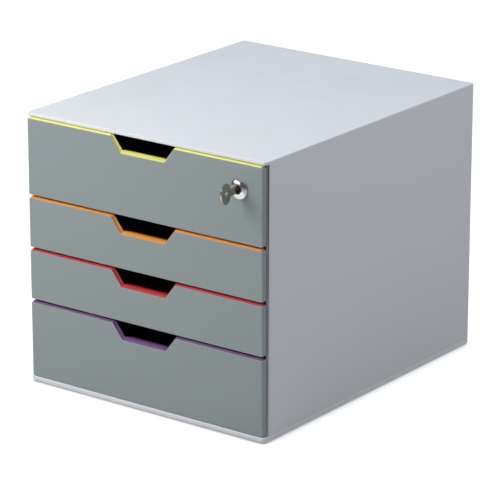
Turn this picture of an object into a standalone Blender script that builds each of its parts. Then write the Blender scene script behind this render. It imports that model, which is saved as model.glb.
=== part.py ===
"""Desktop file drawer unit: a light grey case with four drawers that have
coloured grip trims, and a cam lock with its key in the top drawer.

Metres, +X to the right, +Y from the drawer fronts to the back, +Z up. The
origin lies on the floor, under the middle of the whole unit and its key.
"""
import math

import bmesh
import bpy
from mathutils import Matrix

# Case
case_width = 0.292
case_depth = 0.356             # from the face of the drawer fronts to the back
top_thickness = 0.0033
top_web = 0.0024               # what is left over the hollow under the top
top_setback = 0.0022           # top's front edge behind the face
wall_thickness = 0.004
wall_setback = 0.0079          # side walls' front edges behind the face
base_thickness = 0.0049
base_web = 0.0025
rim_width = 0.012              # solid border around the hollows of top and base
corner_radius = 0.0044         # upright front corners of top and base
back_corner_radius = 0.003
wall_edge_radius = 0.0016
edge_radius = 0.0012           # long edges of the top
lip_edge_radius = 0.0006       # long edges of the base
back_thickness = 0.003
back_inset = 0.0008
seam = 0.0003                  # gap between pieces that touch
overrun = 0.005                # how far a cutter runs past what it cuts
weld = 0.00001

# Feet
foot_radius = 0.008
foot_drop = 0.0015
foot_socket = 0.001
foot_inset = 0.020
foot_edge = 0.0006

# Drawer fronts, in modules of height from the top drawer to the bottom one
module = 0.02715
drawer_modules = (3, 2, 2, 3)
front_gap = 0.0034
top_gap = 0.0016
base_gap = 0.0006
front_inset = 0.0024
front_depth = 0.0065
front_skin = 0.002
front_flange = 0.0012          # the skin's sides and bottom, wrapped around the trim
front_corner_radius = 0.0012

# Grip recess in the top edge of each front
grip_width = 0.078
grip_floor_width = 0.054
grip_depth = 0.0155
grip_floor_radius = 0.0028
grip_edge_radius = 0.0012
grip_ledge = 0.0069            # how far the floor of the grip runs on behind the trim
ledge_thickness = 0.0018

# Coloured trim inside each front
trim_lip = 0.0004              # how far its edge stands past the skin's
trim_wall = 0.002

# Trays
module_play = 0.00015          # left over a tray for each module of its front
tray_wall = 0.002
tray_lift = 0.0025             # tray's floor above the lower edge of its front
tray_back_gap = 0.004
tray_corner_radius = 0.004
flange_width = 0.0058
flange_thickness = 0.002
flange_setback = 0.012
drawer_travel = 0.250          # pulled out this far, the flanges' lugs meet the upper ribs
lug_length = 0.006

# Runner panels
runner_panel = 0.0025
runner_rib = 0.0055            # how far a rib stands out of its panel
rib_thickness = 0.0022
rib_inset = 0.003              # from the ends of its panel
side_play = 0.001              # tray beside the ribs
lift_play = 0.0008             # tray's flange under the upper rib

# Lock, on the top drawer
lock_inset = 0.0271            # its axis in from the right edge of the front
lock_drop = 0.0251             # and down from the upper edge
lock_head_radius = 0.0102
lock_head_height = 0.0034
lock_head_round = 0.0012
lock_dish = 0.0014             # how deep the head is hollowed around the plug
lock_rim = 0.0018              # width of the ring around that hollow
barrel_radius = 0.008
barrel_length = 0.020
plug_radius = 0.0058
plug_face = 0.0015             # plug's face in front of the panel
running_gap = 0.0003
nut_flats = 0.021
nut_thickness = 0.003
nut_play = 0.002               # beside the nut in the tray's front wall
nut_play_below = 0.00345
tail_side = 0.006
cam_thickness = 0.002
cam_width = 0.012
cam_tip_radius = 0.003
cam_tip_gap = 0.0027           # cam's tip below the top when locked
screw_radius = 0.0017
screw_head_radius = 0.0035
screw_head_height = 0.0022
screw_head_edge = 0.0009
screw_depth = 0.007
strike_plate = 0.0015
strike_drop = 0.0090
strike_width = 0.020
strike_foot = 0.011
strike_play = 0.0006

# Key
key_neck = 0.0065              # from the panel's face to the bow
key_bow_diameter = 0.0215
key_thickness = 0.0020
key_blade_width = 0.0070
key_blade_depth = 0.0127       # behind the panel's face
key_hole_radius = 0.0024
key_tip = 0.0010
bit_depth = 0.0009
bit_depth_shares = (1.0, 0.5, 0.8, 0.4)
bit_ramp_share = 0.25          # of the length from one bit to the next
keyway_play = 0.0003

arc_steps = 4
round_steps = 32
sharp_degrees = 35             # turned pieces stay creased where they bend by more than this

# Levels and places worked out from the sizes above
key_reach = key_neck + key_bow_diameter
face_y = (key_reach - case_depth) / 2
base_top = foot_drop + base_thickness
fronts_bottom = base_top + base_gap
fronts_top = fronts_bottom + sum(drawer_modules) * module - front_gap
roof = fronts_top + top_gap
case_top = roof + top_thickness
wall_inner = case_width / 2 - wall_thickness
panel_outer = wall_inner - seam
panel_inner = panel_outer - runner_panel
rib_inner = panel_inner - runner_rib
tray_half = rib_inner - side_play
front_half = case_width / 2 - front_inset
back_front = case_depth - back_inset - back_thickness
tray_front = front_depth + seam
tray_back = back_front - tray_back_gap
flange_back = tray_back - tray_corner_radius
lug_front = flange_back - lug_length
lock_x = front_half - lock_inset
cam_near = barrel_length + 2 * seam                   # cam's front face behind the panel's face
tray_rim_drop = grip_depth + ledge_thickness + seam   # at least this far below the top of its front

palette = {
    "case_grey": ((0.62, 0.64, 0.66), 0.42, 0.0),
    "front_grey": ((0.30, 0.32, 0.32), 0.40, 0.0),
    "tray_grey": ((0.33, 0.34, 0.35), 0.50, 0.0),
    "trim_yellow": ((0.84, 0.76, 0.10), 0.45, 0.0),
    "trim_orange": ((0.85, 0.30, 0.06), 0.45, 0.0),
    "trim_red": ((0.60, 0.045, 0.055), 0.45, 0.0),
    "trim_purple": ((0.17, 0.06, 0.22), 0.45, 0.0),
    "foot_rubber": ((0.05, 0.05, 0.05), 0.80, 0.0),
    "chrome": ((0.78, 0.78, 0.78), 0.14, 1.0),
    "steel": ((0.55, 0.55, 0.54), 0.35, 1.0),
}
trim_colours = ("trim_yellow", "trim_orange", "trim_red", "trim_purple")

outwards = (math.pi / 2, 0, 0)     # turns a piece's own +Z to the front
inwards = (-math.pi / 2, 0, 0)     # and to the back


def clear_scene():
    for thing in list(bpy.data.objects):
        bpy.data.objects.remove(thing, do_unlink=True)


def new_collection(name):
    group = bpy.data.collections.new(name)
    bpy.context.scene.collection.children.link(group)
    return group


def make_materials():
    made = {}
    for name, (colour, roughness, metallic) in palette.items():
        material = bpy.data.materials.new(name)
        material.use_nodes = True
        shader = material.node_tree.nodes["Principled BSDF"]
        shader.inputs["Base Color"].default_value = (*colour, 1.0)
        shader.inputs["Roughness"].default_value = roughness
        shader.inputs["Metallic"].default_value = metallic
        material.diffuse_color = (*colour, 1.0)
        made[name] = material
    return made


def add_empty(name, parent, location):
    empty = bpy.data.objects.new(name, None)
    empty.parent = parent
    empty.location = location
    parts.objects.link(empty)
    return empty


def add_part(name, mesh, material, parent, location=(0, 0, 0), rotation=(0, 0, 0)):
    part = bpy.data.objects.new(name, mesh)
    mesh.materials.append(materials[material])
    part.parent = parent
    part.location = location
    part.rotation_euler = rotation
    parts.objects.link(part)
    return part


def add_cutter(name, mesh, parent, location=(0, 0, 0), rotation=(0, 0, 0)):
    cutter = bpy.data.objects.new(name, mesh)
    cutter.parent = parent
    cutter.location = location
    cutter.rotation_euler = rotation
    cutter.hide_render = True
    cutter.display_type = "WIRE"
    cutters.objects.link(cutter)
    return cutter


def combine(part, other, operation):
    change = part.modifiers.new(f"{operation.lower()} {other.name}", "BOOLEAN")
    change.operation = operation
    change.object = other
    change.solver = "EXACT"


def mesh_from(bm, name):
    mesh = bpy.data.meshes.new(name)
    bm.to_mesh(mesh)
    bm.free()
    return mesh


def grow_box(bm, low, high):
    """Add a box between two corners and return its edges."""
    cube = bmesh.ops.create_cube(bm, size=1.0)
    size = [b - a for a, b in zip(low, high)]
    middle = [(a + b) / 2 for a, b in zip(low, high)]
    bmesh.ops.scale(bm, vec=size, verts=cube["verts"])
    bmesh.ops.translate(bm, vec=middle, verts=cube["verts"])
    return list({edge for vert in cube["verts"] for edge in vert.link_edges})


def box(name, low, high):
    bm = bmesh.new()
    grow_box(bm, low, high)
    return mesh_from(bm, name)


def is_upright(edge):
    a, b = edge.verts
    return abs(a.co.x - b.co.x) < weld and abs(a.co.y - b.co.y) < weld


def upright_edges(edges, at_front):
    """The upright edges of a box at its front end or its back end."""
    ends = [vert.co.y for edge in edges for vert in edge.verts]
    limit = min(ends) if at_front else max(ends)
    return [edge for edge in edges if is_upright(edge) and abs(edge.verts[0].co.y - limit) < weld]


def round_edges(bm, edges, radius, steps):
    bmesh.ops.bevel(bm, geom=edges, offset=radius, segments=steps, profile=0.5, affect="EDGES",
                    clamp_overlap=True)


def rim_edges(bm, level):
    """The edges that lie flat at one height, where an upright face meets a level one."""
    found = []
    for edge in bm.edges:
        if all(abs(vert.co.z - level) < weld for vert in edge.verts) and len(edge.link_faces) == 2:
            tilts = [abs(face.normal.z) for face in edge.link_faces]
            if max(tilts) > 0.9 and min(tilts) < 0.1:
                found.append(edge)
    return found


def slab(name, low, high, upper_round, lower_round):
    """A board with round upright corners and softened long edges."""
    bm = bmesh.new()
    edges = grow_box(bm, low, high)
    round_edges(bm, upright_edges(edges, True), corner_radius, arc_steps)
    remaining = [edge for edge in bm.edges if edge.is_valid]
    round_edges(bm, upright_edges(remaining, False), back_corner_radius, arc_steps)
    bm.normal_update()
    if upper_round:
        round_edges(bm, rim_edges(bm, high[2]), upper_round, 2)
        bm.normal_update()
    if lower_round:
        round_edges(bm, rim_edges(bm, low[2]), lower_round, 1)
    return mesh_from(bm, name)


def rounded(corners):
    """Points of an outline whose corners are (x, y, radius), each radius as an arc."""
    points = []
    count = len(corners)
    for index, (x, y, radius) in enumerate(corners):
        if not radius:
            points.append((x, y))
            continue
        before = corners[index - 1]
        after = corners[(index + 1) % count]
        to_before = math.atan2(before[1] - y, before[0] - x)
        to_after = math.atan2(after[1] - y, after[0] - x)
        turn = (to_after - to_before + math.pi) % (2 * math.pi) - math.pi
        half = turn / 2
        reach = radius / math.tan(abs(half))
        middle = to_before + half
        centre_x = x + radius / math.sin(abs(half)) * math.cos(middle)
        centre_y = y + radius / math.sin(abs(half)) * math.sin(middle)
        start_x = x + reach * math.cos(to_before)
        start_y = y + reach * math.sin(to_before)
        start = math.atan2(start_y - centre_y, start_x - centre_x)
        sweep = -math.copysign(math.pi - abs(turn), turn)
        for step in range(arc_steps + 1):
            angle = start + sweep * step / arc_steps
            points.append((centre_x + radius * math.cos(angle), centre_y + radius * math.sin(angle)))
    return points


def circle(x, y, radius, steps=round_steps):
    return [(x + radius * math.cos(2 * math.pi * step / steps),
             y + radius * math.sin(2 * math.pi * step / steps)) for step in range(steps)]


def plate(name, loops, low, high):
    """A flat plate from its outlines in XY, as thick as from low to high in Z."""
    curve = bpy.data.curves.new(name, "CURVE")
    curve.dimensions = "2D"
    curve.fill_mode = "BOTH"
    curve.extrude = (high - low) / 2
    for loop in loops:
        spline = curve.splines.new("POLY")
        spline.points.add(len(loop) - 1)
        for point, (x, y) in zip(spline.points, loop):
            point.co = (x, y, 0, 1)
        spline.use_cyclic_u = True
    drawn = bpy.data.objects.new(name, curve)
    cutters.objects.link(drawn)
    seen = drawn.evaluated_get(bpy.context.evaluated_depsgraph_get())
    mesh = bpy.data.meshes.new_from_object(seen)
    bpy.data.objects.remove(drawn, do_unlink=True)
    bm = bmesh.new()
    bm.from_mesh(mesh)
    bmesh.ops.remove_doubles(bm, verts=bm.verts, dist=weld)
    bmesh.ops.translate(bm, vec=(0, 0, (low + high) / 2), verts=bm.verts)
    bmesh.ops.recalc_face_normals(bm, faces=bm.faces)
    bm.to_mesh(mesh)
    bm.free()
    mesh.name = name
    return mesh


def turned(name, profile, closed, material, parent, location, rotation):
    """A turned piece about its own Z. The profile is (radius, height), down the outside."""
    mesh = bpy.data.meshes.new(name)
    count = len(profile)
    edges = [(index, index + 1) for index in range(count - 1)]
    if closed:
        edges.append((count - 1, 0))
    mesh.from_pydata([(radius, 0, height) for radius, height in profile], edges, [])
    part = add_part(name, mesh, material, parent, location, rotation)
    screw = part.modifiers.new("turn", "SCREW")
    screw.steps = round_steps
    screw.render_steps = round_steps
    screw.use_merge_vertices = True
    screw.merge_threshold = weld
    screw.use_normal_calculate = False
    return part


def smooth(part):
    mesh = part.data
    mesh.shade_smooth()
    mesh.set_sharp_from_angle(angle=math.radians(sharp_degrees))


def make_housing(case):
    half = case_width / 2
    shell = slab("housing_shell", (-half, top_setback, roof), (half, case_depth, case_top),
                 edge_radius, 0)
    part = add_part("housing_shell", shell, "case_grey", case)
    hollow = box("roof_hollow", (-wall_inner + seam, rim_width, roof - overrun),
                 (wall_inner - seam, back_front - rim_width, case_top - top_web))
    combine(part, add_cutter("roof_hollow", hollow, case), "DIFFERENCE")
    bm = bmesh.new()
    for side in (-1, 1):
        inner, outer = sorted((side * wall_inner, side * half))
        edges = grow_box(bm, (inner, wall_setback, base_top + seam),
                         (outer, case_depth, roof + (top_thickness - edge_radius) / 2))
        for at_front, radius in ((True, wall_edge_radius), (False, back_corner_radius)):
            corner = [edge for edge in upright_edges(edges, at_front)
                      if abs(edge.verts[0].co.x) > half - weld]
            round_edges(bm, corner, radius, arc_steps)
            edges = [edge for edge in bm.edges if edge.is_valid
                     and side * edge.verts[0].co.x > 0]
    combine(part, add_cutter("side_walls", mesh_from(bm, "side_walls"), case), "UNION")


def make_base(case):
    half = case_width / 2
    board = slab("base_panel", (-half, 0, foot_drop), (half, case_depth, base_top),
                 lip_edge_radius, lip_edge_radius)
    part = add_part("base_panel", board, "case_grey", case)
    margin = foot_inset + foot_radius + rim_width / 2
    hollow = box("base_hollow", (-half + margin, margin, foot_drop - overrun),
                 (half - margin, case_depth - margin, base_top - base_web))
    combine(part, add_cutter("base_hollow", hollow, case), "DIFFERENCE")
    bm = bmesh.new()
    for x, y in foot_places():
        made = bmesh.ops.create_cone(bm, cap_ends=True, segments=round_steps,
                                     radius1=foot_radius + seam, radius2=foot_radius + seam,
                                     depth=2 * (foot_socket + seam))
        bmesh.ops.translate(bm, vec=(x, y, foot_drop), verts=made["verts"])
    combine(part, add_cutter("foot_sockets", mesh_from(bm, "foot_sockets"), case), "DIFFERENCE")


def foot_places():
    x = case_width / 2 - foot_inset
    return [(side * x, y) for y in (foot_inset, case_depth - foot_inset) for side in (-1, 1)]


def make_feet(case):
    names = ("foot_front_left", "foot_front_right", "foot_back_left", "foot_back_right")
    height = foot_drop + foot_socket
    for name, (x, y) in zip(names, foot_places()):
        profile = [(0, height), (foot_radius, height), (foot_radius, foot_edge),
                   (foot_radius - foot_edge, 0), (0, 0)]
        smooth(turned(name, profile, False, "foot_rubber", case, (x, y, 0), (0, 0, 0)))


def make_back(case):
    edge = wall_inner - seam
    board = box("back_panel", (-edge, back_front, base_top + seam),
                (edge, back_front + back_thickness, roof - seam))
    add_part("back_panel", board, "case_grey", case)


def tray_rim(height):
    """Rim of a tray above the lower edge of its front, for a front of this height."""
    return height - (height + front_gap) / module * module_play - tray_rim_drop


def make_runner_panels(case):
    """Two ribs beside each drawer hold its flange. The upper one ends where the drawer stops."""
    front = wall_setback + tray_front
    back = back_front - seam
    rib_front = front + rib_inset
    rib_back = back - rib_inset
    stop = lug_front - drawer_travel - seam
    for side, name in ((-1, "runner_panel_left"), (1, "runner_panel_right")):
        near, far = sorted((side * panel_inner, side * panel_outer))
        panel = box(name, (near, front, base_top + seam), (far, back, roof - seam))
        part = add_part(name, panel, "tray_grey", case)
        near, far = sorted((side * rib_inner, side * (panel_inner + runner_panel / 2)))
        bm = bmesh.new()
        for bottom, top in drawer_levels():
            rim = bottom + tray_rim(top - bottom)
            lower = rim - flange_thickness - seam - rib_thickness
            upper = rim + lift_play
            grow_box(bm, (near, rib_front, lower), (far, rib_back, lower + rib_thickness))
            grow_box(bm, (near, rib_front, upper), (far, stop, upper + rib_thickness))
        combine(part, add_cutter(f"{name}_ribs", mesh_from(bm, f"{name}_ribs"), case), "UNION")


def drawer_levels():
    """Lower and upper edge of each front, from the top drawer down."""
    levels = []
    top = fronts_top
    for count in drawer_modules:
        levels.append((top - count * module + front_gap, top))
        top -= count * module
    return levels


def grip_corners(rim, lip):
    """Corners of the recess, left to right. Its walls and the rim stand out by lip."""
    slant = (grip_width - grip_floor_width) / 2
    inwards = lip * math.hypot(slant, grip_depth) / grip_depth
    rise = lip * slant / grip_depth
    half_top = grip_width / 2 + rise - inwards
    half_floor = grip_floor_width / 2 + rise - inwards
    floor = rim - grip_depth + lip
    edge_round = max(grip_edge_radius + lip, 0)
    floor_round = max(grip_floor_radius - lip, 0)
    return [(-half_top, rim + lip, edge_round), (-half_floor, floor, floor_round),
            (half_floor, floor, floor_round), (half_top, rim + lip, edge_round)]


def front_outline(half, bottom, top, lip):
    """A front seen from the front: a board with the grip recess in its upper edge."""
    corners = [(-half, bottom, front_corner_radius), (-half, top + lip, front_corner_radius)]
    corners += grip_corners(top, lip)
    corners += [(half, top + lip, front_corner_radius), (half, bottom, front_corner_radius)]
    return rounded(corners)


def make_front(name, drawer, height, has_lock):
    outline = front_outline(front_half, 0, height, 0)
    skin = plate(name, [outline], -front_depth, 0)
    part = add_part(name, skin, "front_grey", drawer, rotation=outwards)
    inner = front_half - front_flange
    hollow = box(f"{name}_hollow", (-inner, front_skin, front_flange),
                 (inner, front_depth + overrun, height + overrun))
    combine(part, add_cutter(f"{name}_hollow", hollow, drawer), "DIFFERENCE")
    if has_lock:
        combine(part, lock_bore(f"{name}_bore", drawer, height), "DIFFERENCE")


def make_trim(name, drawer, height, colour, has_lock):
    half = front_half - front_flange - seam
    bottom = front_flange + seam
    near = front_skin + seam
    outline = front_outline(half, bottom, height, trim_lip)
    body = plate(name, [outline], -front_depth, -near)
    part = add_part(name, body, colour, drawer, rotation=outwards)
    inner = front_outline(half - trim_wall, bottom + trim_wall, height, trim_lip - trim_wall)
    pocket = plate(f"{name}_pocket", [inner], -(front_depth + overrun), -(near + trim_wall))
    cutter = add_cutter(f"{name}_pocket", pocket, drawer, rotation=outwards)
    combine(part, cutter, "DIFFERENCE")
    floor = height - grip_depth + trim_lip
    reach = grip_floor_width / 2 - grip_floor_radius
    ledge = box(f"{name}_ledge", (-reach, front_depth - trim_wall, floor - ledge_thickness),
                (reach, front_depth + grip_ledge, floor))
    combine(part, add_cutter(f"{name}_ledge", ledge, drawer), "UNION")
    if has_lock:
        combine(part, lock_bore(f"{name}_bore", drawer, height), "DIFFERENCE")


def lock_bore(name, drawer, height):
    bm = bmesh.new()
    radius = barrel_radius + seam
    bmesh.ops.create_cone(bm, cap_ends=True, segments=round_steps, radius1=radius, radius2=radius,
                          depth=2 * (front_depth + overrun))
    return add_cutter(name, mesh_from(bm, name), drawer, (lock_x, 0, height - lock_drop), outwards)


def make_tray(name, drawer, height, has_lock):
    rim = tray_rim(height)
    bm = bmesh.new()
    edges = grow_box(bm, (-tray_half, tray_front, tray_lift), (tray_half, tray_back, rim))
    round_edges(bm, [edge for edge in edges if is_upright(edge)], tray_corner_radius, arc_steps)
    bm.normal_update()
    lid = [face for face in bm.faces if face.normal.z > 0.9]
    bmesh.ops.delete(bm, geom=lid, context="FACES_ONLY")
    part = add_part(name, mesh_from(bm, name), "tray_grey", drawer)
    wall = part.modifiers.new("wall", "SOLIDIFY")
    wall.thickness = tray_wall
    wall.offset = -1
    wall.use_even_offset = True
    flanges = bmesh.new()
    lugs = bmesh.new()
    for side in (-1, 1):
        inner = side * (tray_half - tray_wall / 2)
        near, far = sorted((inner, side * (tray_half + flange_width)))
        grow_box(flanges, (near, tray_front + flange_setback, rim - flange_thickness),
                 (far, flange_back, rim - weld))
        near, far = sorted((inner, side * (tray_half + flange_width - seam)))
        grow_box(lugs, (near, lug_front, rim - flange_thickness / 2),
                 (far, flange_back - seam, rim + lift_play + rib_thickness))
    for bm, use in ((flanges, "flanges"), (lugs, "lugs")):
        cutter = add_cutter(f"{name}_{use}", mesh_from(bm, f"{name}_{use}"), drawer)
        combine(part, cutter, "UNION")
    if has_lock:
        reach = hex_radius(nut_flats) + nut_play
        floor = height - lock_drop - hex_radius(nut_flats) - nut_play_below
        notch = box(f"{name}_notch", (lock_x - reach, 0, floor),
                    (min(lock_x + reach, tray_half - tray_wall - tray_corner_radius / 2),
                     tray_front + 2 * tray_wall, rim + overrun))
        combine(part, add_cutter(f"{name}_notch", notch, drawer), "DIFFERENCE")


def hex_radius(flats):
    return flats / 2 / math.cos(math.pi / 6)


def make_barrel(drawer, axis):
    head = lock_head_height
    rim = lock_head_radius - lock_rim
    bore = plug_radius + running_gap
    corners = [(rim, head, 0), (lock_head_radius, head, lock_head_round), (lock_head_radius, seam, 0),
               (barrel_radius, seam, 0), (barrel_radius, -barrel_length, 0), (bore, -barrel_length, 0),
               (bore, head - lock_dish, 0)]
    smooth(turned("lock_barrel", rounded(corners), True, "chrome", drawer, axis, outwards))


def make_nut(drawer, axis):
    place = (axis[0], front_skin + 2 * seam + trim_wall + nut_thickness / 2, axis[2])
    bm = bmesh.new()
    across = hex_radius(nut_flats)
    bmesh.ops.create_cone(bm, cap_ends=True, segments=6, radius1=across, radius2=across,
                          depth=nut_thickness)
    bmesh.ops.rotate(bm, verts=bm.verts, cent=(0, 0, 0), matrix=Matrix.Rotation(math.pi / 6, 3, "Z"))
    nut = add_part("lock_nut", mesh_from(bm, "lock_nut"), "steel", drawer, place, outwards)
    bm = bmesh.new()
    bmesh.ops.create_cone(bm, cap_ends=True, segments=round_steps, radius1=barrel_radius + seam,
                          radius2=barrel_radius + seam, depth=nut_thickness + overrun)
    hole = add_cutter("lock_nut_bore", mesh_from(bm, "lock_nut_bore"), drawer, place, outwards)
    combine(nut, hole, "DIFFERENCE")


def make_plug(turning, screw_place):
    shoulder = cam_near - seam
    profile = [(0, plug_face), (plug_radius, plug_face), (plug_radius, -shoulder), (0, -shoulder)]
    plug = turned("lock_plug", profile, False, "chrome", turning, (0, 0, 0), outwards)
    smooth(plug)
    half = tail_side / 2
    tail = box("plug_tail", (-half, shoulder - overrun, -half),
               (half, cam_near + cam_thickness - seam, half))
    combine(plug, add_cutter("plug_tail", tail, turning), "UNION")
    slot_x = key_thickness / 2 + keyway_play
    slot_z = key_blade_width / 2 + keyway_play
    slot = box("keyway", (-slot_x, -plug_face - overrun, -slot_z),
               (slot_x, key_blade_depth + keyway_play, slot_z))
    combine(plug, add_cutter("keyway", slot, turning), "DIFFERENCE")
    bm = bmesh.new()
    bmesh.ops.create_cone(bm, cap_ends=True, segments=round_steps // 2,
                          radius1=screw_radius + seam, radius2=screw_radius + seam,
                          depth=2 * (screw_depth + seam))
    bore = add_cutter("screw_bore", mesh_from(bm, "screw_bore"), turning, screw_place, outwards)
    combine(plug, bore, "DIFFERENCE")


def make_cam(turning):
    """A flat lever that lies to the left when unlocked and reaches up behind the strike."""
    reach = roof - (fronts_top - lock_drop) - cam_tip_gap
    heel = cam_width / 2
    outline = rounded([(heel, -heel, heel - weld), (heel, heel, heel - weld),
                       (-reach, heel, cam_tip_radius), (-reach, -heel, cam_tip_radius)])
    half = tail_side / 2 + seam
    square = [(-half, -half), (half, -half), (half, half), (-half, half)]
    cam = plate("lock_cam", [outline, square], -(cam_near + cam_thickness), -cam_near)
    add_part("lock_cam", cam, "steel", turning, rotation=outwards)


def make_screw(turning, place):
    head = screw_head_height
    profile = [(0, head), (screw_head_radius - screw_head_edge, head),
               (screw_head_radius, head - screw_head_edge), (screw_head_radius, 0), (screw_radius, 0),
               (screw_radius, -screw_depth), (0, -screw_depth)]
    smooth(turned("cam_screw", profile, False, "steel", turning, place, inwards))


def make_lock(drawer, height):
    """The barrel and its nut stay with the drawer; plug, cam and screw turn with the key."""
    axis = (lock_x, 0, height - lock_drop)
    make_barrel(drawer, axis)
    make_nut(drawer, axis)
    turning = add_empty("lock_turn", drawer, axis)
    screw_place = (0, cam_near + cam_thickness + seam, 0)
    make_plug(turning, screw_place)
    make_cam(turning)
    make_screw(turning, screw_place)
    make_key(turning)


def make_key(turning):
    """A flat key: a round bow, and a blade with bits cut along both of its edges."""
    bow = key_bow_diameter / 2
    centre = key_neck + bow
    half = key_blade_width / 2
    join = math.asin(half / bow)
    steps = round_steps
    start = math.pi - join
    points = [(centre + bow * math.cos(start - 2 * start * step / steps),
               bow * math.sin(start - 2 * start * step / steps)) for step in range(steps + 1)]
    tip = -key_blade_depth
    lower = bits(-half)
    points += lower
    points += [(tip + key_tip, -half), (tip, -half + key_tip), (tip, half - key_tip),
               (tip + key_tip, half)]
    points += [(x, -z) for x, z in reversed(lower)]
    blade = plate("key", [points, circle(centre, 0, key_hole_radius, round_steps // 2)],
                  -key_thickness / 2, key_thickness / 2)
    add_part("key", blade, "steel", turning, rotation=(math.pi / 2, 0, -math.pi / 2))


def bits(edge):
    """Notches along one edge of the blade, from the panel's face towards its tip."""
    points = []
    pitch = (key_blade_depth - key_tip) / (len(bit_depth_shares) + bit_ramp_share)
    ramp = pitch * bit_ramp_share
    for number, share in enumerate(bit_depth_shares):
        start = -number * pitch
        inner = edge + bit_depth * share
        points += [(start, edge), (start - ramp, inner), (start - pitch + 2 * ramp, inner),
                   (start - pitch + ramp, edge)]
    return points


def make_strike(case):
    """An angle under the top that the cam turns up behind."""
    back = cam_near - strike_play
    left = lock_x - strike_width / 2
    right = lock_x + strike_width / 2
    top = roof - seam
    outline = [(back, top), (back, top - strike_drop), (back - strike_plate, top - strike_drop),
               (back - strike_plate, top - strike_plate), (back - strike_foot, top - strike_plate),
               (back - strike_foot, top)]
    angle = plate("lock_strike", [outline], left, right)
    add_part("lock_strike", angle, "steel", case, rotation=(math.pi / 2, 0, math.pi / 2))


def make_drawers(case):
    for number, ((bottom, top), colour) in enumerate(zip(drawer_levels(), trim_colours), start=1):
        drawer = add_empty(f"drawer_{number}", case, (0, 0, bottom))
        height = top - bottom
        has_lock = number == 1
        make_front(f"drawer_{number}_front", drawer, height, has_lock)
        make_trim(f"drawer_{number}_trim", drawer, height, colour, has_lock)
        make_tray(f"drawer_{number}_tray", drawer, height, has_lock)
        if has_lock:
            make_lock(drawer, height)


clear_scene()
parts = new_collection("desktop_file_drawer")
cutters = new_collection("cutters")
materials = make_materials()
case_origin = add_empty("case", None, (0, face_y, 0))
make_housing(case_origin)
make_base(case_origin)
make_feet(case_origin)
make_back(case_origin)
make_runner_panels(case_origin)
make_strike(case_origin)
make_drawers(case_origin)
bpy.context.view_layer.update()
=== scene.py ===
import math

import bmesh
import bpy
import numpy as np
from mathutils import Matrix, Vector


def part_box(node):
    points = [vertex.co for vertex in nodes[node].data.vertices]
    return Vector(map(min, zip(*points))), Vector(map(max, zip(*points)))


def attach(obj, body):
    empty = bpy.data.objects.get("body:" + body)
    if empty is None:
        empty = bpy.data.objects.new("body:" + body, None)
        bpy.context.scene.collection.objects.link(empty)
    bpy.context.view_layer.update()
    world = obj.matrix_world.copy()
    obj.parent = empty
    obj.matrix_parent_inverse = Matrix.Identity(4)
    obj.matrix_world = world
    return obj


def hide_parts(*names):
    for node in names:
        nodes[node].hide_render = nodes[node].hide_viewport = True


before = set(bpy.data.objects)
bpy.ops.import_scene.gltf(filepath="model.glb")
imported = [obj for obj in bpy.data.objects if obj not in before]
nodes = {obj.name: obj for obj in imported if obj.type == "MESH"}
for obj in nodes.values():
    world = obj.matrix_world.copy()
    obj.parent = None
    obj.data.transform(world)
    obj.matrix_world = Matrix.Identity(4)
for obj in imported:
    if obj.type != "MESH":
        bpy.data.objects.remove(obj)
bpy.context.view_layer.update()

print("frame loaded,", len(nodes), "nodes")

# Shared values, in metres
cornerSteps = 6        # pieces in each arc of an outline
edgeSteps = 4          # pieces in a round edge, and in small and large ones
smallSteps = 2
largeSteps = 6
flatMargin = 0.0004    # flat strip kept beside each round edge, so that the flat stays flat when smoothed
mergeGap = 0.000002
tiny = 1e-6            # an angle, sine or cosine that counts as none


# Geometry helpers

def outlineAt(corners, radii, inset, steps):
    # Outline with round corners, moved inwards: each corner shifts along its mitre by the inset, a
    # convex radius shrinks by it and a concave one grows, and each corner is an arc of equal angles
    # from the edge before it to the edge after it. Inset may differ from point to point.
    corners = np.asarray(corners, float)
    radii = np.asarray(radii, float)
    ahead = np.roll(corners, -1, axis=0) - corners
    ahead = ahead / np.linalg.norm(ahead, axis=1, keepdims=True)
    behind = np.roll(ahead, 1, axis=0)
    inAhead = np.stack((-ahead[:, 1], ahead[:, 0]), axis=1)
    inBehind = np.roll(inAhead, 1, axis=0)
    mitre = (inAhead + inBehind) / (1 + (inAhead * inBehind).sum(axis=1))[:, None]
    cross = behind[:, 0] * ahead[:, 1] - behind[:, 1] * ahead[:, 0]
    turn = np.arctan2(cross, (behind * ahead).sum(axis=1))
    side = np.where(np.abs(turn) < tiny, 0.0, np.sign(turn))
    radius = np.maximum(radii[:, None] - side[:, None] * inset, 0) * np.abs(side)[:, None]
    reach = radius * np.tan(np.abs(turn) / 2)[:, None]
    angle = turn[:, None] * np.linspace(0, 1, steps + 1)
    swung = np.stack((np.cos(angle) * inBehind[:, :1] - np.sin(angle) * inBehind[:, 1:],
                      np.sin(angle) * inBehind[:, :1] + np.cos(angle) * inBehind[:, 1:]), axis=-1)
    bulge = (side[:, None] * radius)[..., None] * (inBehind[:, None] - swung)
    shifted = corners[:, None] + inset[..., None] * mitre[:, None]
    return shifted - reach[..., None] * behind[:, None] + bulge


def alongEdges(values, steps=cornerSteps):
    # One value per edge, spread over the points: the first half of a corner's points takes the edge
    # before it and the second half the edge after it.
    values = np.asarray(values, float)
    firstHalf = np.arange(steps + 1) <= steps // 2
    return np.where(firstHalf, np.roll(values, 1)[:, None], values[:, None])


def blendEdges(values, steps=cornerSteps):
    # One value per edge, turning evenly into the next one along each corner's arc.
    values = np.asarray(values, float)
    share = np.linspace(0, 1, steps + 1)
    return np.roll(values, 1)[:, None] * (1 - share) + values[:, None] * share


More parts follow.
